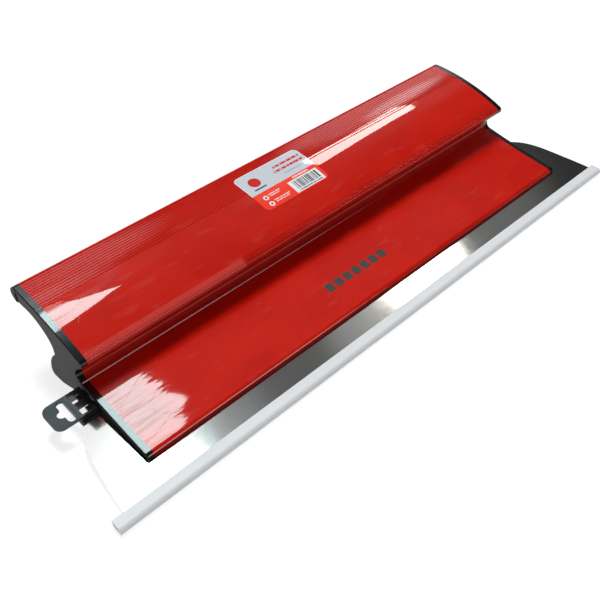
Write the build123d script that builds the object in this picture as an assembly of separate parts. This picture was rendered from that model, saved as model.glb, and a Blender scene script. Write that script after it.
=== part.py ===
from build123d import *
import math
import os

# Skimming blade: a thin steel blade clamped in a hollow aluminium handle profile with two moulded
# end caps, as it is sold, with a blade guard, a hang tab and a label.
#
# Everything is drawn in a tool frame and turned into the part's frame at the end. In the tool
# frame X runs along the blade, the blade lies in the plane z = 0, +Y points from the blade's edge
# to the grip, and y = 0 is half a millimetre in front of the guard's rear edge. Points of a
# cross-section are (y, z).
# The part's frame has the object lying as it rests: z = 0 is the table, and the origin is the
# middle of the bottom of its box.

# ---- driving dimensions, mm ----
BLADE_LENGTH = 400.0
BLADE_THICKNESS = 0.4
BLADE_FRONT_Y = -4.0
BLADE_REAR_Y = 70.5
BLADE_REAR_HALF = 163.0      # half the length of the blade's straight rear edge

HANDLE_LENGTH = 350.8        # over both end caps
CAP_FLANGE = 4.0
CAP_X = HANDLE_LENGTH / 2    # outer face of an end cap
PROFILE_HALF = CAP_X - CAP_FLANGE
WALL = 1.7                   # wall of the hollow profile

LIP_Y = 15.5                 # front face of the two jaws that hold the blade
LIP_HALF = 3.6
LIP_ROUND = 2.8              # round on the upper jaw's front edge
JAW_REAR_Y = 38.0
SLOT_TOP = BLADE_THICKNESS / 2
SLOT_BOTTOM = -0.3
SLOT_REAR_Y = BLADE_REAR_Y + 0.5
RIB_REAR_Y = 73.5            # rear face of the rib that stops the blade
RIB_THICKNESS = 4.0
RIB_TOP_Z = 15.0             # above this the neck's front wall takes the rib's place
GRIP_FLOOR_Z = 24.0          # top of the web between the grip chamber and the neck chamber
FLOOR_THICKNESS = 1.7
SMALLEST_CHAMBER = 20.0      # mm2, a hollow with less section than this is left solid

HEEL_Y, HEEL_Z = 99.75, -14.05   # middle of the heel's flat pad
HEEL_FRONT = 3.4             # the pad's extent forward of that point
HEEL_REAR = 7.3              # and back to the heel's corner

BAR_Y = 26.0                 # the clamp bar that presses on the blade, and the screws' row
BAR_WIDTH = 11.0
BAR_THICKNESS = 1.2
BAR_LENGTH = 336.0
BAR_GAP = 0.2                # clearance in front of and behind the bar
SCREW_RADIUS = 2.0
SCREW_COUNT = 6
SCREW_PITCH = 60.0
SCREW_END_Z = -4.0
TAPPED_DEPTH = 10.0          # from the blade's plane down through the lower jaw
SOCKET_ACROSS_FLATS = 2.0
SOCKET_DEPTH = 1.4

GUARD_LENGTH = 408.0
GUARD_X = -3.0               # its middle: it sits a little towards the hang tab
GUARD_RADIUS = 2.5           # half the guard's height, and its round nose
GUARD_NOSE_Y = -4.7          # centre of the round nose
GUARD_REAR_Y = 0.5
GUARD_CORNER = 0.5           # round on its rear corners

CROWN_Y, CROWN_Z, CROWN_RADIUS = 119.3, -127.7, 164.7   # centre and radius of the crown's top
RIDGE_RADIUS = 0.35          # the fine grooves in the crown
RIDGE_DEPTH = 0.2
REAR_RIDGES = (105.8, 1.9, 12)   # first y, pitch and count
FRONT_RIDGES = (68.9, 1.1, 2)
NOSE_Y = 64.2                # front edge of the crown, over the front finger hollow
NOSE_ROUND = 2.8             # the front grooves go on around it
NOSE_RIDGES = (0.1, 0.3, 0.5)    # where they lie, as shares of the round's length from the top

LABEL_X = -5.5
LABEL_LENGTH = 52.0
LABEL_Y = (87.0, 120.0)
LABEL_THICKNESS = 0.12
LABEL_CORNER = 3.5

TAB_OUTER_X = -199.2
TAB_INNER_X = -CAP_X - 0.1
TAB_Y = (57.0, 74.6)
TAB_TOP = 4.0
TAB_PLATE = 1.8
TAB_BOTTOM = -2.4            # lower edge of the skirt that straddles the blade
TAB_SKIRT_X = -186.2         # outer face of that skirt
TAB_SKIRT = 1.5              # and its thickness
TAB_SLIT_REAR_Y = 68.5       # rear end of the slit that the blade's end sits in
TAB_CORNER = 4.5
HOLE_X, HOLE_Y = -189.2, 65.5    # hang hole, a slot across the tab with a round notch outwards
HOLE_LENGTH, HOLE_WIDTH = 15.2, 4.4
NOTCH_X, NOTCH_RADIUS = -191.4, 2.9
WINDOWS_X = (-184.0, -178.5)
WINDOWS_Y = ((58.2, 63.0), (66.7, 72.2))
PRONG_X = (-180.4, -172.8)
PRONG_WIDTH = 3.6
PRONG_Z = (0.9, 2.6)

SPIGOT_LENGTH = 14.0         # how far an end cap reaches into the profile
SPIGOT_WALL = 1.6
SPIGOT_FIT = 0.05
RIM_TOP, RIM_FRONT = 1.7, 0.9    # raised rim along the top and front edges of an end cap's face
RIM_NOSE_Y = 126.6           # behind this the rim takes in the crown's whole rear nose
RIM_HEEL_Y, RIM_HEEL_Z = 85.0, 10.0   # behind and below this the face has no rim
RIM_DEPTH = 0.7
RIM_ROUND = 0.6

CLEARANCE = 0.3              # around the blade in the guard and in the hang tab, and around a prong
OVERCUT = 1.0                # how far a cut runs out through the face that it opens
FAR = 100.0                  # reaches past every face that a long cut runs through

# The tool rests on the heel's pad and on the guard's round nose, which sets its tilt.
REST_RUN = HEEL_Y - GUARD_NOSE_Y
REST_TILT = (math.atan2(-HEEL_Z, REST_RUN)
             - math.asin(GUARD_RADIUS / math.hypot(REST_RUN, HEEL_Z)))


def crown_z(y):
    """Height of the crown's top over the blade's plane."""
    return CROWN_Z + math.sqrt(CROWN_RADIUS ** 2 - (y - CROWN_Y) ** 2)


def crown_point(y, lift):
    """The point lift mm off the crown's top, out along its radius over y."""
    lean = math.asin((y - CROWN_Y) / CROWN_RADIUS)
    radius = CROWN_RADIUS + lift
    return CROWN_Y + radius * math.sin(lean), CROWN_Z + radius * math.cos(lean)


def along_x(face, low, high):
    """The solid that a (y, z) face sweeps from x = low to x = high."""
    return extrude(Plane.YZ.offset(low) * face, amount=high - low)


def band(across, up):
    """A flat rectangle from its low and high limits both ways."""
    middle = Pos((across[0] + across[1]) / 2, (up[0] + up[1]) / 2)
    return middle * Rectangle(across[1] - across[0], up[1] - up[0])


def slab(x, y, z):
    """A box from its low and high limits along each axis."""
    return along_x(band(y, z), *x)


# ---- handle profile ----

def heel_point(run):
    """A point of the heel's pad, run mm behind its middle."""
    return HEEL_Y + run * math.cos(REST_TILT), HEEL_Z - run * math.sin(REST_TILT)


def outline():
    """Outer outline of the profile: jaws, base, neck with a finger hollow each side, crown, heel."""
    base_end, neck_foot, neck_top = (71.0, 8.9), (75.6, 9.35), (75.6, 15.6)
    nose, crown_end = (NOSE_Y, crown_z(NOSE_Y)), (127.0, crown_z(127.0))
    crown_under, hollow_top, hollow_foot = (127.0, 26.4), (118.0, 27.0), (97.2, 13.6)
    hollow_bend = (101.2, 20.6)
    hollow_roof = TangentArc(hollow_top, hollow_bend, tangent=(-1, 0))
    shoulder, heel_back = (97.3, 8.8), (107.0, -9.6)
    heel_front, heel_corner = heel_point(-HEEL_FRONT), heel_point(HEEL_REAR)
    heel_rise = (85.3, -8.8)
    lip_top, lip_bottom = (LIP_Y, LIP_HALF), (LIP_Y, -LIP_HALF)
    face = make_face([
        Line(lip_bottom, lip_top),
        ThreePointArc(lip_top, (44.0, 5.75), base_end),
        Line(base_end, neck_foot),
        Line(neck_foot, neck_top),
        Line(neck_top, nose),
        ThreePointArc(nose, (98.0, crown_z(98.0)), crown_end),
        ThreePointArc(crown_end, (131.6, 31.4), crown_under),
        Line(crown_under, hollow_top),
        hollow_roof,
        TangentArc(hollow_bend, hollow_foot, tangent=hollow_roof % 1),
        Line(hollow_foot, shoulder),
        ThreePointArc(shoulder, (102.9, 1.5), heel_back),
        Line(heel_back, heel_corner),
        Line(heel_corner, heel_front),
        Line(heel_front, heel_rise),
        ThreePointArc(heel_rise, (50.0, -5.7), lip_bottom),
    ])
    rounds = ((lip_top, LIP_ROUND), (lip_bottom, 0.6), (neck_foot, 4.2), (neck_top, 4.0),
              (nose, NOSE_ROUND), (hollow_top, 15.0), (shoulder, 0.6), (heel_corner, 2.6),
              (heel_rise, 6.0))
    for point, radius in rounds:
        corner = face.vertices().sort_by_distance(Vector(*point, 0))[0]
        face = fillet(corner, radius)
    return face


def chambers(shape, margin=0.0):
    """The hollow spaces in the heel and neck, in the base, and in the crown, drawn in by a margin."""
    space = offset(shape, amount=-WALL - margin)
    rib_front = RIB_REAR_Y - RIB_THICKNESS
    grip_floor = (GRIP_FLOOR_Z - FLOOR_THICKNESS - margin, GRIP_FLOOR_Z + margin)
    space -= band((0, JAW_REAR_Y + margin), (-FAR, FAR))
    space -= band((rib_front - margin, RIB_REAR_Y + margin), (-FAR, RIB_TOP_Z))
    space -= band((rib_front, HEEL_Y), grip_floor)
    hollows = [face for face in space.faces() if face.area > SMALLEST_CHAMBER]
    return sorted(hollows, key=lambda face: face.center().Y)


def ridges(shape):
    """The fine grooves along the crown, a wide field at the back and a strip around the front edge."""
    fields = (REAR_RIDGES, FRONT_RIDGES)
    rows = [first + pitch * i for first, pitch, count in fields for i in range(count)]
    lift = RIDGE_RADIUS - RIDGE_DEPTH
    places = [Vector(y, crown_z(y) + lift) for y in rows]
    nose = Vector(NOSE_Y, crown_z(NOSE_Y))
    arc = shape.edges().filter_by(GeomType.CIRCLE).sort_by_distance(nose)[0]
    for share in NOSE_RIDGES:
        point = arc @ share
        places.append(point + (point - arc.arc_center).normalized() * lift)
    return [Pos(place) * Circle(RIDGE_RADIUS) for place in places]


def screw_places():
    first = -SCREW_PITCH * (SCREW_COUNT - 1) / 2
    return [Pos(first + SCREW_PITCH * i, BAR_Y, 0) for i in range(SCREW_COUNT)]


def handle_extrusion(shape, hollows):
    """One aluminium extrusion: walls, blade slot, seat for the clamp bar, and tapped holes."""
    section = shape - ridges(shape)
    section -= hollows
    section -= band((LIP_Y - OVERCUT, SLOT_REAR_Y), (SLOT_BOTTOM, SLOT_TOP))
    seat = BAR_WIDTH / 2 + BAR_GAP
    section -= band((BAR_Y - seat, BAR_Y + seat), (SLOT_BOTTOM - BAR_THICKNESS, 0))
    profile = along_x(section, -PROFILE_HALF, PROFILE_HALF)
    hole = Cylinder(SCREW_RADIUS, TAPPED_DEPTH, align=(Align.CENTER, Align.CENTER, Align.MAX))
    return profile - [place * hole for place in screw_places()]


# ---- blade and what holds it ----

def blade():
    """Thin steel sheet. Its ends curve in behind the edge and run into the end caps."""
    half = BLADE_LENGTH / 2
    front, ear, rear = (half, BLADE_FRONT_Y), (half - 11, 52.0), (BLADE_REAR_HALF, BLADE_REAR_Y)
    side = Spline(front, (half - 3, 24.0), ear, (CAP_X, 64.3), rear, tangents=((0, 1), (-1, 0.25)))
    edges = [side, mirror(side, Plane.YZ), Line((-half, BLADE_FRONT_Y), front),
             Line((-BLADE_REAR_HALF, BLADE_REAR_Y), rear)]
    return Pos(0, 0, -BLADE_THICKNESS / 2) * extrude(make_face(edges), amount=BLADE_THICKNESS)


def clamp_bar():
    """Flat bar between the screws and the blade, which spreads their pressure."""
    y = (BAR_Y - BAR_WIDTH / 2, BAR_Y + BAR_WIDTH / 2)
    top = -BLADE_THICKNESS / 2
    return slab((-BAR_LENGTH / 2, BAR_LENGTH / 2), y, (top - BAR_THICKNESS, top))


def clamp_screws():
    """Set screws in the lower jaw, with hexagon sockets that open downwards."""
    tip = -BLADE_THICKNESS / 2 - BAR_THICKNESS
    height = tip - SCREW_END_Z
    body = Pos(0, 0, SCREW_END_Z + height / 2) * Cylinder(SCREW_RADIUS, height)
    hexagon = RegularPolygon(SOCKET_ACROSS_FLATS / 2, 6, major_radius=False)
    screw = body - Pos(0, 0, SCREW_END_Z) * extrude(hexagon, amount=SOCKET_DEPTH)
    return Compound([place * screw for place in screw_places()])


# ---- end caps ----

def prong_places():
    return [(low + high) / 2 for low, high in WINDOWS_Y]


def prongs(gap, outer_x):
    """The hang tab's two prongs, or with a gap around them their sockets."""
    return [slab((outer_x, PRONG_X[1] + gap), (y - PRONG_WIDTH / 2 - gap, y + PRONG_WIDTH / 2 + gap),
                 (PRONG_Z[0] - gap, PRONG_Z[1] + gap)) for y in prong_places()]


def cap_face(shape):
    """The sunk part of an end cap's face: the profile's outline moved down and back, off the rim."""
    face = Pos(RIM_FRONT, -RIM_TOP) * shape - band((RIM_NOSE_Y, RIM_NOSE_Y + FAR), (0, FAR))
    return face + band((RIM_HEEL_Y, RIM_HEEL_Y + FAR), (RIM_HEEL_Z - FAR, RIM_HEEL_Z))


def left_end_cap(shape):
    """Flange of the profile's outline with a raised rim, slotted for the blade, on hollow spigots."""
    flange = along_x(shape, -CAP_X, -PROFILE_HALF)
    rim = flange.faces().sort_by(Axis.X)[0].edges()
    cap = fillet(rim, RIM_ROUND) - along_x(cap_face(shape), -CAP_X - OVERCUT, RIM_DEPTH - CAP_X)
    plugs = chambers(shape, SPIGOT_FIT)[1:]
    cores = chambers(shape, SPIGOT_FIT + SPIGOT_WALL)[1:]
    for plug, core in zip(plugs, cores):
        cap += along_x(plug - core, -PROFILE_HALF, SPIGOT_LENGTH - PROFILE_HALF)
    slot_x = (-CAP_X - OVERCUT, SPIGOT_LENGTH - PROFILE_HALF + OVERCUT)
    return cap - slab(slot_x, (LIP_Y - OVERCUT, SLOT_REAR_Y), (SLOT_BOTTOM, SLOT_TOP))


# ---- packaging that stays with the tool ----

def blade_guard():
    """Extruded plastic channel with a round nose, pushed over the blade's edge."""
    nose = Pos(GUARD_NOSE_Y, 0) * Circle(GUARD_RADIUS)
    legs = band((GUARD_NOSE_Y, GUARD_REAR_Y), (-GUARD_RADIUS, GUARD_RADIUS))
    legs = fillet(legs.vertices().group_by(Axis.X)[-1], GUARD_CORNER)
    channel_half = BLADE_THICKNESS / 2 + CLEARANCE
    channel = band((BLADE_FRONT_Y - CLEARANCE, GUARD_REAR_Y + OVERCUT), (-channel_half, channel_half))
    return along_x(nose + legs - channel, GUARD_X - GUARD_LENGTH / 2, GUARD_X + GUARD_LENGTH / 2)


def hang_tab():
    """Moulded hanger. Its skirt straddles the blade's end and two prongs plug into the end cap."""
    plate = band((TAB_OUTER_X, TAB_INNER_X), TAB_Y)
    plate = fillet(plate.vertices().group_by(Axis.X)[0], TAB_CORNER)
    plate -= Pos(HOLE_X, HOLE_Y) * Rot(0, 0, 90) * SlotOverall(HOLE_LENGTH, HOLE_WIDTH)
    plate -= Pos(NOTCH_X, HOLE_Y) * Circle(NOTCH_RADIUS)
    plate -= [band(WINDOWS_X, y) for y in WINDOWS_Y]
    tab = Pos(0, 0, TAB_TOP - TAB_PLATE) * extrude(plate, amount=TAB_PLATE)
    skirt = (TAB_BOTTOM, TAB_TOP - TAB_PLATE)
    inside = (TAB_Y[0] + TAB_SKIRT, TAB_Y[1] - TAB_SKIRT)
    tab += slab((TAB_SKIRT_X, TAB_INNER_X), TAB_Y, skirt)
    inside_x = (TAB_SKIRT_X + TAB_SKIRT, TAB_INNER_X + OVERCUT)
    tab -= slab(inside_x, inside, (TAB_BOTTOM - OVERCUT, skirt[1]))
    slit = BLADE_THICKNESS / 2 + CLEARANCE
    slit_x = (TAB_SKIRT_X - OVERCUT, TAB_INNER_X + OVERCUT)
    tab -= slab(slit_x, (TAB_Y[0] - OVERCUT, TAB_SLIT_REAR_Y), (-slit, slit))
    return tab + prongs(0, PRONG_X[0])


def label_sticker():
    """Thin label with round corners that follows the crown's top."""
    places = (LABEL_Y[0], sum(LABEL_Y) / 2, LABEL_Y[1])
    low = [crown_point(y, 0) for y in places]
    high = [crown_point(y, LABEL_THICKNESS) for y in places]
    ends = [Line(low[0], high[0]), Line(low[2], high[2])]
    strip = make_face([ThreePointArc(*low), ThreePointArc(*high), *ends])
    sheet = along_x(strip, LABEL_X - LABEL_LENGTH / 2, LABEL_X + LABEL_LENGTH / 2)
    front, rear = high[0][0], high[2][0]
    shape = RectangleRounded(LABEL_LENGTH, rear - front, LABEL_CORNER)
    return sheet & extrude(Pos(LABEL_X, (front + rear) / 2) * shape, amount=FAR)


# ---- the whole tool ----

def build():
    shape = outline()
    hollows = chambers(shape)
    left_cap = left_end_cap(shape)
    return {
        "handle_extrusion": handle_extrusion(shape, hollows),
        "blade": blade(),
        "clamp_bar": clamp_bar(),
        "clamp_screws": clamp_screws(),
        "left_end_cap": left_cap - prongs(CLEARANCE, -CAP_X - OVERCUT),
        "right_end_cap": mirror(left_cap, Plane.YZ),
        "blade_guard": blade_guard(),
        "hang_tab": hang_tab(),
        "label_sticker": label_sticker(),
    }


def resting(parts):
    """Turns the tool to lie on its heel and guard, over the middle of the bottom of its box."""
    turned = {name: Rot(math.degrees(REST_TILT), 0, 0) * part for name, part in parts.items()}
    box = Compound(list(turned.values())).bounding_box()
    shift = Pos(-box.center().X, -box.center().Y, -box.min.Z)
    print("tilt", round(math.degrees(REST_TILT), 4), "shift", [round(v, 4) for v in shift.position])
    print("size", [round(v, 3) for v in box.size])
    return {name: shift * part for name, part in turned.items()}


os.makedirs("parts", exist_ok=True)
for name, part in resting(build()).items():
    export_step(part, f"parts/{name}.step")
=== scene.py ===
import math
import random

import bmesh
import bpy
from mathutils import Matrix, Vector


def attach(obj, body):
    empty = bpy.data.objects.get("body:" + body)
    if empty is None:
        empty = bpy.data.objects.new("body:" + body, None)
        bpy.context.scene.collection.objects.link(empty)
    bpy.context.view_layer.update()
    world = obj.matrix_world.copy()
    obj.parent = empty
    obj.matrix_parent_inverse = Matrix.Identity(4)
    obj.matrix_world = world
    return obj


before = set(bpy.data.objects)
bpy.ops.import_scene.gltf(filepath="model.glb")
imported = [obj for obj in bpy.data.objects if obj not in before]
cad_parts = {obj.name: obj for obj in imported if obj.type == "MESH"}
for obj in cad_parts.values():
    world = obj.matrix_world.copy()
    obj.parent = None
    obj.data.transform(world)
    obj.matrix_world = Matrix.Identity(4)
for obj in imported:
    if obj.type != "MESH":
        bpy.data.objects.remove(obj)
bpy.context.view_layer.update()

# A skimming blade as sold. The CAD nodes keep their shapes and get their materials here.
#
# Patterns are laid out in the tool's own frame, in millimetres, as the CAD part is drawn: X along
# the blade, Y from the blade's edge to the grip, Z off the blade. The object lies tilted on its
# heel and guard, so that frame is turned about X and shifted from the shared one.
MM = 0.001
TILT = math.radians(6.3019)
SHIFT = Vector((0.003, -0.0600997, 0.0030159))

CAP_SEAM_X = 171.4           # where the caps meet the painted profile

# The clear film around the handle. A pair is where something fades in or out.
FILM_LEFT_X = -128.0         # the film is most creased between here and the left end cap
RIB_FRONT_Y = 105.5          # behind this it lies uneven over the grooves in the crown
TIGHT_Y, TIGHT_Z = (73.0, 78.0), (14.0, 18.0)       # in front of and above these it is drawn tight
SLACK_MM, CREASE_MM, RIB_MM = 0.085, 0.004, 0.035   # heights of its waves, creases and ribs
STREAK_MM = (0.003, 0.014)   # and of its streaks, on the right and at the left end
HOLLOW_Y = ((69.0, 70.5), (76.5, 77.5))             # in the front finger hollow it mirrors less
HOLLOW_Z = ((10.5, 12.0), (23.0, 25.0))
LIFTED_X, LIFTED_Y = (-130.0, -145.0), (99.0, 102.0)    # and where the ribs lift it, at the left
MILKY_X = (-138.0, -162.0)   # crumpled and milky on the base, at the left end
MILKY_Y = ((22.0, 34.0), (58.0, 66.0))
HIGHLIGHT_STRIP_X, HIGHLIGHT_STRIP_Y, HIGHLIGHT_STRIP_Z = (-68.0, -65.0), (70.4, 70.8), (22.0, 24.0)    # a painted highlight on the front grooves, in lighter paint
TAB_FILM_X = (-186.5, -184.0)    # it ends between these on the hang tab

CROWN = (119.3, -127.7, 164.7)    # (y, z) of the middle of the crown's top curve, and its radius
NOSE = (69.26, 26.27, 2.8)   # and of the round at its front edge
GROOVES_Y = (68.5, 127.1)    # the grooves that lie in the top curve, the others are in the round
GROOVE_SOFT = 0.1            # how softly those limits fade
GROOVE_DEPTH = ((0.04, 0.14), (0.25, 0.35))    # deeper than the first and not as deep as the second

SEAM_LEFT_X = -174.6         # the film's seam and fold start on the left end cap's rim
SEAM_STATIONS, SEAM_AROUND = 120, 8
SEAM_WOBBLE = 0.05           # how far they wander off their line
SEAM_THINNEST = 0.05         # how thin they get at their right end, as a share
GROOVE_SEAM = (71.2, 8.95)   # (y, z) of the seam, at the foot of the neck
LIP_SEAM = (16.3, 2.8)       # and of the fold, along the edge over the blade

BOW_X = (35.0, 80.0)         # the blade bows down slightly between these, and runs on straight
BOW = -0.0005                # mm per mm2

# Print. Places on the label are (u, v), from its front left corner along X and Y, and a field is
# its limits both ways.
BLOCKS_X, BLOCKS_Y = (-30.5, 21.5), (34.0, 40.2)    # the row of plain blocks printed on the base
BLOCK_PITCH = 7.43
LABEL_X, LABEL_Y = (-31.5, 20.5), (87.0, 120.0)
LABEL_SPLIT = 14.1           # where its red front part ends and its pale part starts
LABEL_BORDER = 0.5
MARK, MARK_RADIUS = (9.8, 23.4), 4.1
MARK_LINE = ((5.0, 14.4), (16.7, 17.9))
LARGE_PRINT = (((28, 50), (26.0, 27.8)), ((25.5, 50), (22.0, 23.8)))
PALE_PRINT = (((30.5, 50), (17.9, 19.2)),)
SMALL_PRINT = (((9.3, 18.4), (9.9, 10.6)), ((9.3, 17.0), (8.4, 9.1)), ((9.5, 21.8), (4.4, 5.1)),
               ((9.5, 20.5), (2.9, 3.6)), ((31.4, 44.4), (12.0, 13.1)))
RINGS = (((6.4, 8.9), 0.9), ((6.4, 3.4), 0.8))      # two small rings, and the radius of each hole
RING_RADIUS = 1.8
CODE_FIELD = ((25.5, 49.5), (0.8, 11.0))            # the bar code's white field, bars and digits
CODE_BARS = ((28.3, 47.6), (3.2, 10.0))
CODE_DIGITS = (((28.3, 47.6), (1.5, 2.4)),)

# Directions are (azimuth, elevation) in degrees: azimuth 0 is +Y and 90 is +X.
CAMERA_PLACE = (-0.2748, -0.2775, 0.3131)
CAMERA_AZIMUTH = -41.65
CAMERA_ELEVATION = 41.0
CAMERA_ROLL = -3.55
CAMERA_LENS = 47.6
LIGHT_DISTANCE = 12.0
FLOOR_SIZE = 40
ROOM_LEVEL = 0.05
ROOM_COLOR = (0.20, 0.20, 0.202, 1)
BACKDROP_COLOR = (0.95, 0.95, 0.95, 1)
# What gloss mirrors of the room: azimuth, elevation, even out to, gone at (degrees), radiance.
GLOWS = (
    (42, 62, 12, 30, 0.12),          # a faint haze over the whole left half
    (25, 48.5, 4, 10, 1.6),          # on the crown's rear grooves, at the left
    (53.5, 34.0, 5, 9, 1.7),         # and at the right
    (58.8, 36.4, 1.5, 3.5, 3.5),     # in front of those
    (66, 43, 2, 6, 0.12),            # around the right softbox, on the crown and the blade
    (68, 36.5, 2, 6, 0.18),          # on the blade, right of the softbox
    (58.2, 50.5, 1, 3.5, 0.3),       # and left of it
    (43.8, 59, 1, 4, 0.2),           # on the blade, beside its left ear
    (25.5, 60.0, 5, 9, 1.4),         # on that ear
    (215, 50, 12, 26, 1.2),          # behind the camera, for faces that look to the front
)


def heading(azimuth, elevation):
    """The unit vector towards an azimuth and elevation in degrees."""
    a, e = math.radians(azimuth), math.radians(elevation)
    return Vector((math.sin(a) * math.cos(e), math.cos(a) * math.cos(e), math.sin(e)))


class Graph:
    """One material's node tree, with short calls that add nodes to it."""

    def __init__(self, name):
        self.material = bpy.data.materials.new(name)
        self.material.use_nodes = True
        self.tree = self.material.node_tree
        self.shader = self.tree.nodes["Principled BSDF"]
        self.place = self.tool_place()

    def add(self, kind, **settings):
        node = self.tree.nodes.new(kind)
        for name, value in settings.items():
            setattr(node, name, value)
        return node

    def put(self, socket, value):
        """Gives a socket a value, or the output of another node."""
        if isinstance(value, bpy.types.NodeSocket):
            self.tree.links.new(value, socket)
        else:
            socket.default_value = value

    def set(self, **values):
        """Sets the shader's own sockets: base_color=..., roughness=... and so on."""
        for name, value in values.items():
            self.put(self.shader.inputs[name.replace("_", " ").title().replace("Ior", "IOR")], value)

    def tool_place(self):
        """The shaded point in the tool's frame, in millimetres."""
        coords = self.add("ShaderNodeTexCoord")
        turn = self.add("ShaderNodeMapping", vector_type="TEXTURE")
        self.put(turn.inputs["Vector"], coords.outputs["Object"])
        self.put(turn.inputs["Location"], SHIFT)
        self.put(turn.inputs["Rotation"], (TILT, 0, 0))
        self.put(turn.inputs["Scale"], (MM, MM, MM))
        return turn.outputs[0]

    def axes(self, vector=None):
        split = self.add("ShaderNodeSeparateXYZ")
        self.put(split.inputs[0], vector or self.place)
        return split.outputs

    def math(self, operation, *values):
        node = self.add("ShaderNodeMath", operation=operation)
        for socket, value in zip(node.inputs, values):
            self.put(socket, value)
        return node.outputs[0]

    def ramp(self, value, low, high, start=0.0, end=1.0):
        """Goes smoothly from start to end as a value goes from low to high."""
        node = self.add("ShaderNodeMapRange", interpolation_type="SMOOTHSTEP")
        for socket, number in zip(node.inputs, (value, low, high, start, end)):
            self.put(socket, number)
        return node.outputs[0]

    def mix(self, share, low, high):
        """A colour between two, by a share from 0 to 1."""
        node = self.add("ShaderNodeMix", data_type="RGBA")
        for index, value in ((0, share), (6, low), (7, high)):
            self.put(node.inputs[index], value)
        return node.outputs[2]

    def noise(self, cell, detail=2.0, distortion=0.0, roughness=0.5):
        """Noise from 0 to 1 whose patches are about cell millimetres across, one size for each axis."""
        shrink = self.add("ShaderNodeVectorMath", operation="DIVIDE")
        self.put(shrink.inputs[0], self.place)
        self.put(shrink.inputs[1], cell)
        node = self.add("ShaderNodeTexNoise")
        for name, value in (("Vector", shrink.outputs[0]), ("Scale", 1.0), ("Detail", detail),
                            ("Distortion", distortion), ("Roughness", roughness)):
            self.put(node.inputs[name], value)
        return node.outputs[0]

    def cracks(self, cell, width):
        """Thin wandering lines: 1 on the borders of irregular cells, falling to 0 at width of a cell."""
        wander = self.noise(cell, detail=3.0)
        shift = self.add("ShaderNodeVectorMath", operation="DIVIDE")
        self.put(shift.inputs[0], self.place)
        self.put(shift.inputs[1], cell)
        bend = self.add("ShaderNodeVectorMath", operation="ADD")
        self.put(bend.inputs[0], shift.outputs[0])
        self.put(bend.inputs[1], wander)
        node = self.add("ShaderNodeTexVoronoi", feature="DISTANCE_TO_EDGE")
        self.put(node.inputs["Vector"], bend.outputs[0])
        self.put(node.inputs["Scale"], 1.0)
        return self.ramp(node.outputs["Distance"], 0.0, width, 1.0, 0.0)

    def bump(self, height_mm, normal=None):
        """A normal that follows a height in millimetres."""
        node = self.add("ShaderNodeBump")
        self.put(node.inputs["Strength"], 1.0)
        self.put(node.inputs["Distance"], MM)
        self.put(node.inputs["Height"], height_mm)
        if normal:
            self.put(node.inputs["Normal"], normal)
        return node.outputs[0]

    def scaled(self, value, factor):
        return self.math("MULTIPLY", value, factor)

    def total(self, *values):
        result = values[0]
        for value in values[1:]:
            result = self.math("ADD", result, value)
        return result

    def product(self, *values):
        result = values[0]
        for value in values[1:]:
            result = self.math("MULTIPLY", result, value)
        return result

    def either(self, *values):
        result = values[0]
        for value in values[1:]:
            result = self.math("MAXIMUM", result, value)
        return result

    def rest(self, value):
        """What is left of 1."""
        return self.math("SUBTRACT", 1.0, value)

    def fall(self, value, low, high):
        """Goes smoothly from 1 to 0 as a value goes from low to high."""
        return self.ramp(value, low, high, 1.0, 0.0)

    def inside(self, value, rise, fall):
        """1 between two limits, each of them a pair that it fades over."""
        return self.product(self.ramp(value, *rise), self.fall(value, *fall))

    def box(self, u, v, field, soft=0.12):
        """1 inside a rectangle of the plane (u, v), 0 outside, with its edges soft millimetres wide."""
        sides = []
        for value, (low, high) in zip((u, v), field):
            sides.append(self.inside(value, (low - soft, low + soft), (high - soft, high + soft)))
        return self.product(*sides)

    def facing(self, axis):
        """How far the surface faces along an axis of the object, either way, from 0 to 1."""
        coords = self.add("ShaderNodeTexCoord")
        return self.math("ABSOLUTE", self.axes(coords.outputs["Normal"])[axis])

    def length(self, du, dv):
        """The length of a flat vector."""
        return self.math("SQRT", self.total(self.product(du, du), self.product(dv, dv)))


# ---- materials ----

def film_left(g):
    """0 over most of the handle, and 1 at its left end, where the film is most creased."""
    return g.ramp(g.axes()[0], FILM_LEFT_X, -CAP_SEAM_X)


def film_height(g):
    """How far the thin film stands off the handle, in mm: slack waves, streaks, ribs and creases."""
    _, y, z = g.axes()
    left = film_left(g)
    tight = g.product(g.fall(y, *TIGHT_Y), g.ramp(z, *TIGHT_Z))
    slack = g.scaled(g.noise((75, 17, 17), detail=1.0), SLACK_MM)
    streaks = g.scaled(g.noise((42, 2.4, 2.4), detail=1.0), g.ramp(left, 0.0, 1.0, *STREAK_MM))
    creases = g.product(g.cracks((48, 17, 17), 0.006), left, CREASE_MM)
    behind = g.ramp(y, RIB_FRONT_Y - 0.2, RIB_FRONT_Y + 0.2)
    ribs = g.product(g.noise((500, 1.9, 1.9), detail=2.0), behind, RIB_MM)
    crumple = g.product(g.total(streaks, creases), g.rest(behind))
    return g.product(g.total(slack, crumple, ribs), g.rest(tight))


def groove_depth(g, curve):
    """1 in the grooves cut into a curve given by its middle (y, z) and radius, 0 elsewhere."""
    _, y, z = g.axes()
    out = g.length(g.math("SUBTRACT", y, curve[0]), g.math("SUBTRACT", z, curve[1]))
    return g.inside(g.math("SUBTRACT", curve[2], out), *GROOVE_DEPTH)


def groove_shade(g):
    """1 in the fine grooves of the crown, whose floors lie in shade, 0 on the lands between them."""
    y = g.axes()[1]
    front, rear = GROOVES_Y
    on_top = g.inside(y, (front, front + GROOVE_SOFT), (rear, rear + GROOVE_SOFT))
    on_nose = g.fall(y, front - GROOVE_SOFT, front)
    return g.either(g.product(groove_depth(g, CROWN), on_top), g.product(groove_depth(g, NOSE), on_nose))


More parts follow.
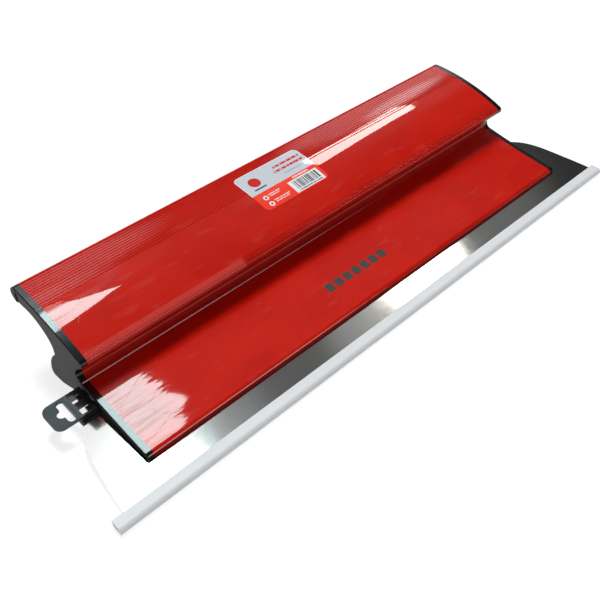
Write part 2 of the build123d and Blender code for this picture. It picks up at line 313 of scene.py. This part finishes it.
def film_gloss(g):
    """How much the film mirrors: less over grooves and the finger hollow, and in slack streaks."""
    x, y, z = g.axes()
    hollow = g.product(g.inside(y, *HOLLOW_Y), g.inside(z, *HOLLOW_Z), 0.65)
    streak = g.ramp(g.noise((30, 2.0, 2.0), detail=2.0), 0.42, 0.66)
    slack = g.product(streak, film_left(g), 0.28)
    lifted = g.product(g.inside(y, LIFTED_Y, (RIB_FRONT_Y, RIB_FRONT_Y + 0.5)), g.ramp(x, *LIFTED_X), 0.8)
    gloss = g.math("SUBTRACT", g.rest(slack), g.scaled(groove_shade(g), 0.7))
    return g.product(gloss, g.rest(hollow), g.rest(lifted))


def film_haze_and_highlight(g, tone):
    """A paint's tone, paler where the film is crumpled, and lighter on the front grooves as a painted
    highlight.
    """
    x, y, z = g.axes()
    milky = g.product(g.ramp(x, *MILKY_X), g.inside(y, *MILKY_Y))
    tone = g.mix(g.scaled(milky, 0.45), tone, (0.30, 0.12, 0.12, 1))
    highlight_strip = g.product(g.fall(y, *HIGHLIGHT_STRIP_Y), g.ramp(z, *HIGHLIGHT_STRIP_Z), g.fall(x, *HIGHLIGHT_STRIP_X))
    # painted highlight: the front grooves' paint goes halfway to a lighter red
    return g.mix(g.scaled(highlight_strip, 0.5), tone, (0.75, 0.090, 0.075, 1))


def block_row(g):
    """1 in the row of plain blocks on the base."""
    x, y, _ = g.axes()
    step = g.math("FRACT", g.math("DIVIDE", g.math("SUBTRACT", x, BLOCKS_X[0]), BLOCK_PITCH))
    return g.product(g.box(x, y, (BLOCKS_X, BLOCKS_Y)), g.fall(step, 0.70, 0.73))


def red_paint():
    """Smooth red coating with fine orange peel, under a clear glossy film."""
    g = Graph("red_paint")
    cloud = g.noise((38, 22, 22), detail=3.0)
    speck = g.noise((1.4, 1.4, 1.4), detail=1.0)
    scuff = g.noise((20, 5, 5), detail=3.0)
    tone = g.mix(g.ramp(cloud, 0.3, 0.7), (0.52, 0.006, 0.001, 1), (0.59, 0.010, 0.002, 1))
    tone = g.mix(g.ramp(speck, 0.62, 0.8, 0.0, 0.25), tone, (0.61, 0.035, 0.020, 1))
    tone = g.mix(g.ramp(scuff, 0.58, 0.74, 0.0, 0.3), tone, (0.60, 0.055, 0.040, 1))
    # painted shade: the paint is darker in the groove floors
    tone = g.mix(g.scaled(groove_shade(g), 0.26), tone, (0.12, 0.001, 0.001, 1))
    ink = g.mix(speck, (0.050, 0.046, 0.046, 1), (0.085, 0.075, 0.073, 1))
    tone = g.mix(block_row(g), film_haze_and_highlight(g, tone), ink)
    peel = g.bump(g.scaled(g.noise((0.7, 0.7, 0.7), detail=1.0), 0.004))
    g.set(base_color=tone, roughness=g.ramp(cloud, 0.2, 0.8, 0.36, 0.46), specular_ior_level=0.06)
    g.set(normal=peel)
    g.set(coat_weight=film_gloss(g), coat_roughness=0.025, coat_normal=g.bump(film_height(g)))
    return g.material


def cap_plastic():
    """Black moulded plastic: glossy where the film lies on the rim, matt grey on the sunk end face."""
    g = Graph("cap_plastic")
    face = g.ramp(g.facing(0), 0.80, 0.95)
    mould = g.noise((0.5, 0.5, 0.5), detail=2.0)
    cloud = g.noise((18, 18, 18), detail=2.0)
    rim_tone = g.mix(cloud, (0.003, 0.0035, 0.004, 1), (0.006, 0.0065, 0.008, 1))
    face_tone = g.mix(cloud, (0.038, 0.043, 0.037, 1), (0.052, 0.058, 0.050, 1))
    grain = g.scaled(mould, g.ramp(face, 0.0, 1.0, 0.002, 0.012))
    g.set(base_color=g.mix(face, rim_tone, face_tone), roughness=g.ramp(face, 0.0, 1.0, 0.30, 0.70),
          specular_ior_level=0.3, normal=g.bump(grain))
    wrapped = g.ramp(g.axes()[0], 0.0, 1.0, 1.0, 0.35)
    g.set(coat_weight=g.product(wrapped, g.fall(face, 0.0, 1.0)), coat_roughness=0.05)
    g.set(coat_normal=g.bump(film_height(g)))
    return g.material


def blade_sag(g):
    """The blade's height in mm where it bows down slightly to the right."""
    x = g.axes()[0]
    length = BOW_X[1] - BOW_X[0]
    bent = g.math("MINIMUM", g.math("MAXIMUM", g.math("SUBTRACT", x, BOW_X[0]), 0.0), length)
    straight = g.math("MAXIMUM", g.math("SUBTRACT", x, BOW_X[1]), 0.0)
    return g.total(g.product(bent, bent, BOW), g.scaled(straight, 2 * length * BOW))


def blade_steel():
    """Stainless sheet, ground fine along its length and polished, with dull sheared edges that are painted
    near black as painted shade, so the thin edge shows as a dark outline.
    """
    g = Graph("blade_steel")
    grain = g.noise((9, 0.12, 0.12), detail=3.0)
    cloud = g.noise((26, 12, 12), detail=4.0)
    tone = g.mix(cloud, (0.60, 0.59, 0.575, 1), (0.65, 0.65, 0.64, 1))
    edge = g.fall(g.facing(2), 0.3, 0.6)
    # painted shade: the side faces are near black
    g.set(base_color=g.mix(edge, tone, (0.03, 0.03, 0.03, 1)), metallic=1.0)
    g.set(roughness=g.total(g.ramp(grain, 0.3, 0.7, 0.08, 0.105), g.scaled(edge, 0.4)))
    g.set(normal=g.bump(g.total(g.scaled(grain, 0.0005), blade_sag(g))))
    return g.material


def raw_metal(name, dark, light, grain_mm, roughness):
    """Plain metal with a drawn or turned grain."""
    g = Graph(name)
    grain = g.noise(grain_mm, detail=3.0)
    g.set(base_color=g.mix(grain, (*dark, 1), (*light, 1)), metallic=1.0,
          roughness=g.ramp(grain, 0.2, 0.8, roughness - 0.08, roughness + 0.08),
          normal=g.bump(g.scaled(grain, 0.003)))
    return g.material


def guard_plastic():
    """Milky extruded plastic with faint drawing lines along it."""
    g = Graph("guard_plastic")
    lines = g.noise((160, 0.35, 0.35), detail=3.0)
    cloud = g.noise((45, 8, 8), detail=2.0)
    tone = g.mix(cloud, (0.81, 0.82, 0.84, 1), (0.86, 0.87, 0.89, 1))
    g.set(base_color=tone, roughness=g.ramp(lines, 0.3, 0.7, 0.34, 0.46), transmission_weight=0.18, ior=1.5)
    g.set(normal=g.bump(g.scaled(lines, 0.006)))
    return g.material


def tab_plastic():
    """Dark slate moulded plastic with a fine satin grain."""
    g = Graph("tab_plastic")
    mould = g.noise((0.45, 0.45, 0.45), detail=2.0)
    cloud = g.noise((14, 9, 9), detail=2.0)
    film = g.ramp(g.axes()[0], *TAB_FILM_X)
    tone = g.mix(cloud, (0.034, 0.046, 0.052, 1), (0.052, 0.066, 0.074, 1))
    # The base colour also goes much darker towards the end cap, over the same span.
    g.set(base_color=g.mix(film, tone, (0.008, 0.010, 0.012, 1)), normal=g.bump(g.scaled(mould, 0.010)))
    g.set(roughness=g.ramp(cloud, 0.2, 0.8, 0.42, 0.52), coat_weight=film, coat_roughness=0.06)
    g.set(coat_normal=g.bump(film_height(g)))
    return g.material


def seam_highlight_plastic(name, dark, light):
    """Film where it is welded or folded, with fine crimps across it; its light colour is a painted highlight
    along the crease.
    """
    g = Graph(name)
    crimp = g.noise((0.9, 0.5, 0.5), detail=2.0)
    tone = g.mix(crimp, (*dark, 1), (*light, 1))
    g.set(base_color=tone, roughness=g.ramp(crimp, 0.3, 0.7, 0.18, 0.30))
    g.set(normal=g.bump(g.scaled(crimp, 0.02)))
    return g.material


def print_rows(g, u, v, rows, gap_mm):
    """Rows of short plain bars of uneven length, where a label has its small print."""
    masks = []
    for field in rows:
        low_v = field[1][0]
        row = g.add("ShaderNodeTexNoise", noise_dimensions="1D")
        g.put(row.inputs["W"], g.math("ADD", g.math("DIVIDE", u, gap_mm), low_v * 7.3))
        g.put(row.inputs["Scale"], 1.0)
        words = g.ramp(row.outputs[0], 0.40, 0.44)
        masks.append(g.product(words, g.box(u, v, field)))
    return g.either(*masks)


def code_stripes(g, u, v):
    """Plain stripes of uneven width, where a label has its bar code, and a row of bars under them."""
    code = g.add("ShaderNodeTexNoise", noise_dimensions="1D")
    g.put(code.inputs["W"], g.math("MULTIPLY", u, 1.15))
    g.put(code.inputs["Scale"], 1.0)
    g.put(code.inputs["Detail"], 1.0)
    stripes = g.product(g.ramp(code.outputs[0], 0.47, 0.50), g.box(u, v, CODE_BARS))
    return g.either(stripes, print_rows(g, u, v, CODE_DIGITS, 0.7))


def disc(g, u, v, middle, radius):
    """1 inside a circle of the plane (u, v)."""
    reach = g.length(g.math("SUBTRACT", u, middle[0]), g.math("SUBTRACT", v, middle[1]))
    return g.fall(reach, radius - 0.12, radius + 0.12)


def label_print():
    """Coated label with plain generic print: a pale rear part and a red front part."""
    g = Graph("label_print")
    x, y, _ = g.axes()
    u, v = g.math("SUBTRACT", x, LABEL_X[0]), g.math("SUBTRACT", y, LABEL_Y[0])
    white, dark = (0.86, 0.86, 0.87, 1), (0.10, 0.10, 0.12, 1)
    red, deep_red = (0.95, 0.044, 0.020, 1), (0.62, 0.018, 0.010, 1)
    fibre = g.noise((0.8, 0.8, 0.8), detail=2.0)
    silver = g.mix(fibre, (0.58, 0.615, 0.675, 1), (0.63, 0.66, 0.72, 1))
    rear = g.ramp(v, LABEL_SPLIT - 0.1, LABEL_SPLIT + 0.1)
    tone = g.mix(rear, red, silver)

    tone = g.mix(disc(g, u, v, MARK, MARK_RADIUS), tone, deep_red)
    tone = g.mix(g.box(u, v, MARK_LINE), tone, dark)
    tone = g.mix(print_rows(g, u, v, LARGE_PRINT, 1.1), tone, deep_red)
    tone = g.mix(print_rows(g, u, v, PALE_PRINT, 0.9), tone, (0.42, 0.42, 0.47, 1))

    rings = [disc(g, u, v, middle, RING_RADIUS) for middle, _ in RINGS]
    small_print = print_rows(g, u, v, SMALL_PRINT, 0.8)
    tone = g.mix(g.either(g.box(u, v, CODE_FIELD), *rings, small_print), tone, white)
    for middle, hole in RINGS:
        tone = g.mix(disc(g, u, v, middle, hole), tone, deep_red)
    tone = g.mix(code_stripes(g, u, v), tone, dark)

    sides = [(LABEL_BORDER, high - low - LABEL_BORDER) for low, high in (LABEL_X, LABEL_Y)]
    tone = g.mix(g.product(g.rest(g.box(u, v, sides, soft=0.15)), rear), tone, white)
    g.set(base_color=tone, roughness=g.ramp(fibre, 0.3, 0.7, 0.40, 0.50), specular_ior_level=0.1)
    g.set(normal=g.bump(g.scaled(fibre, 0.003)), coat_weight=1.0, coat_roughness=0.03)
    g.set(coat_normal=g.bump(film_height(g)))
    return g.material


def dress():
    """Gives every CAD node its material."""
    cap = cap_plastic()
    bar = raw_metal("clamp_bar_metal", (0.60, 0.60, 0.61), (0.78, 0.78, 0.79), (12, 0.4, 0.4), 0.38)
    screw = raw_metal("screw_metal", (0.22, 0.22, 0.23), (0.36, 0.36, 0.37), (0.6, 0.6, 2.0), 0.34)
    finishes = {
        "handle_extrusion": red_paint(),
        "blade": blade_steel(),
        "clamp_bar": bar,
        "clamp_screws": screw,
        "left_end_cap": cap,
        "right_end_cap": cap,
        "blade_guard": guard_plastic(),
        "hang_tab": tab_plastic(),
        "label_sticker": label_print(),
    }
    for node, material in finishes.items():
        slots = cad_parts[node].data.materials
        slots.clear()
        slots.append(material)


# ---- what the film adds: ridges that also carry painted highlights ----

def in_row(x, y, z):
    """A point of the tool's frame, in millimetres, as a place in the shared frame."""
    return Matrix.Rotation(TILT, 3, "X") @ Vector((x, y, z)) * MM + SHIFT


def seam_ring(mesh, x, y, z, half_width, height):
    """One closed ring of vertices around the seam at x."""
    ring = []
    for k in range(SEAM_AROUND):
        turn = 2 * math.pi * k / SEAM_AROUND
        ring.append(mesh.verts.new(in_row(x, y + half_width * math.cos(turn), z + height * math.sin(turn))))
    return ring


def seam(name, place, right_x, taper, half_width, height, material):
    """A thin ridge of welded or folded film along the handle at a (y, z), which thins out to the right; its
    light material makes it partly a painted highlight, which that thinning fades out.
    """
    wobble = random.Random(7)
    mesh = bmesh.new()
    rings = []
    for i in range(SEAM_STATIONS + 1):
        x = SEAM_LEFT_X + (right_x - SEAM_LEFT_X) * i / SEAM_STATIONS
        size = max(SEAM_THINNEST, min(1.0, (right_x - x) / taper))
        y = place[0] + wobble.uniform(-SEAM_WOBBLE, SEAM_WOBBLE)
        rings.append(seam_ring(mesh, x, y, place[1], half_width * size, height * size))
    for low, high in zip(rings, rings[1:]):
        for k in range(SEAM_AROUND):
            mesh.faces.new((low[k], low[k - 1], high[k - 1], high[k]))
    mesh.faces.new(rings[0])
    mesh.faces.new(reversed(rings[-1]))
    bmesh.ops.recalc_face_normals(mesh, faces=mesh.faces)
    for face in mesh.faces:
        face.smooth = True
    data = bpy.data.meshes.new(name)
    mesh.to_mesh(data)
    mesh.free()
    data.materials.append(material)
    piece = bpy.data.objects.new(name, data)
    bpy.context.scene.collection.objects.link(piece)
    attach(piece, "tool")


def seams():
    # painted highlights: light ridges along the neck's foot and the lip's edge, on real creases of the film
    weld = seam_highlight_plastic("welded_film_highlight", (0.84, 0.81, 0.81), (0.96, 0.94, 0.94))
    fold = seam_highlight_plastic("folded_film_highlight", (0.66, 0.20, 0.19), (0.80, 0.36, 0.34))
    seam("film_seam_highlight", GROOVE_SEAM, right_x=60.0, taper=150.0, half_width=0.40, height=0.26, material=weld)
    seam("film_fold_highlight", LIP_SEAM, right_x=20.0, taper=90.0, half_width=0.30, height=0.22, material=fold)


# ---- studio ----

def camera():
    """The camera at the photograph's place: azimuth 0 looks along +Y, and the elevation looks down."""
    data = bpy.data.cameras.new("camera")
    data.lens = CAMERA_LENS
    data.sensor_width = 36.0
    data.clip_start, data.clip_end = 0.01, 50
    cam = bpy.data.objects.new("camera", data)
    bpy.context.scene.collection.objects.link(cam)
    turn = Matrix.Rotation(math.radians(CAMERA_AZIMUTH), 4, "Z")
    tip = Matrix.Rotation(math.radians(90 - CAMERA_ELEVATION), 4, "X")
    roll = Matrix.Rotation(math.radians(CAMERA_ROLL), 4, "Z")
    cam.matrix_world = Matrix.Translation(CAMERA_PLACE) @ turn @ tip @ roll
    bpy.context.scene.camera = cam


def panel(name, azimuth, elevation, wide, high, radiance, roll=0.0, tint=(1, 1, 1), mirrored=True):
    """A soft rectangular lamp: where it hangs, how many degrees it spans, how bright it is, and its lean."""
    data = bpy.data.lights.new(name, "AREA")
    data.shape = "RECTANGLE"
    data.size = 2 * LIGHT_DISTANCE * math.tan(math.radians(wide / 2))
    data.size_y = 2 * LIGHT_DISTANCE * math.tan(math.radians(high / 2))
    data.energy = radiance * math.pi * data.size * data.size_y
    data.color = tint
    lamp = bpy.data.objects.new(name, data)
    bpy.context.scene.collection.objects.link(lamp)
    out = heading(azimuth, elevation)
    facing = out.to_track_quat("Z", "Y").to_matrix().to_4x4()
    lean = Matrix.Rotation(math.radians(roll), 4, "Z")
    lamp.matrix_world = Matrix.Translation(out * LIGHT_DISTANCE) @ facing @ lean
    lamp.visible_glossy = mirrored
    lamp.visible_camera = False


def floor():
    """Pale seamless floor that is lit from below, like a light table, so that shadows on it stay faint."""
    bpy.ops.mesh.primitive_plane_add(size=FLOOR_SIZE)
    plane = bpy.context.object
    plane.name = "floor"
    g = Graph("floor_paper")
    paper = g.mix(g.noise((400, 400, 400)), (0.26, 0.26, 0.26, 1), (0.29, 0.29, 0.29, 1))
    g.set(base_color=paper, roughness=0.8, emission_color=(1, 1, 1, 1), emission_strength=0.80)
    plane.data.materials.append(g.material)


def glow(tree, azimuth, elevation, core, rim, radiance):
    """A soft round patch of light in the surroundings, even within core degrees and gone at rim degrees."""
    coords = tree.nodes.new("ShaderNodeTexCoord")
    along = tree.nodes.new("ShaderNodeVectorMath")
    along.operation = "DOT_PRODUCT"
    tree.links.new(coords.outputs["Generated"], along.inputs[0])
    along.inputs[1].default_value = heading(azimuth, elevation)
    fade = tree.nodes.new("ShaderNodeMapRange")
    fade.interpolation_type = "SMOOTHSTEP"
    tree.links.new(along.outputs["Value"], fade.inputs[0])
    limits = (math.cos(math.radians(rim)), math.cos(math.radians(core)), 0.0, radiance)
    for socket, value in zip(list(fade.inputs)[1:5], limits):
        socket.default_value = value
    return fade.outputs[0]


def mirrored_room(tree):
    """What gloss mirrors: a dim room with a few soft glows in it."""
    light = None
    for spot in GLOWS:
        add = tree.nodes.new("ShaderNodeMath")
        add.inputs[0].default_value = ROOM_LEVEL
        if light:
            tree.links.new(light, add.inputs[0])
        tree.links.new(glow(tree, *spot), add.inputs[1])
        light = add.outputs[0]
    room = tree.nodes.new("ShaderNodeBackground")
    tree.links.new(light, room.inputs[1])
    return room


def surroundings():
    """Even light for matt surfaces, the mirrored room for gloss, and a pale backdrop for the camera."""
    world = bpy.data.worlds.new("studio")
    world.use_nodes = True
    tree = world.node_tree
    path = tree.nodes.new("ShaderNodeLightPath")
    result = tree.nodes["Background"]
    result.inputs[0].default_value = ROOM_COLOR
    backdrop = tree.nodes.new("ShaderNodeBackground")
    backdrop.inputs[0].default_value = BACKDROP_COLOR
    for ray, background in (("Is Glossy Ray", mirrored_room(tree)), ("Is Camera Ray", backdrop)):
        pick = tree.nodes.new("ShaderNodeMixShader")
        tree.links.new(path.outputs[ray], pick.inputs[0])
        tree.links.new(result.outputs[0], pick.inputs[1])
        tree.links.new(background.outputs[0], pick.inputs[2])
        result = pick
    tree.links.new(result.outputs[0], tree.nodes["World Output"].inputs[0])
    bpy.context.scene.world = world


def lamps():
    """Two bright softboxes behind the tool that its gloss mirrors, and one overhead that only lights it."""
    panel("left_softbox", azimuth=32.6, elevation=68.6, wide=9, high=13, radiance=14, roll=-24.7,
          tint=(0.78, 1.0, 1.01))
    panel("right_softbox", azimuth=61.4, elevation=43.3, wide=5.8, high=8.2, radiance=12.5, roll=-26,
          tint=(1.0, 0.95, 0.90))
    panel("key", azimuth=45, elevation=75, wide=14, high=14, radiance=36, mirrored=False)


camera()
dress()
seams()
floor()
surroundings()
lamps()
bpy.context.scene.view_settings.view_transform = "Standard"
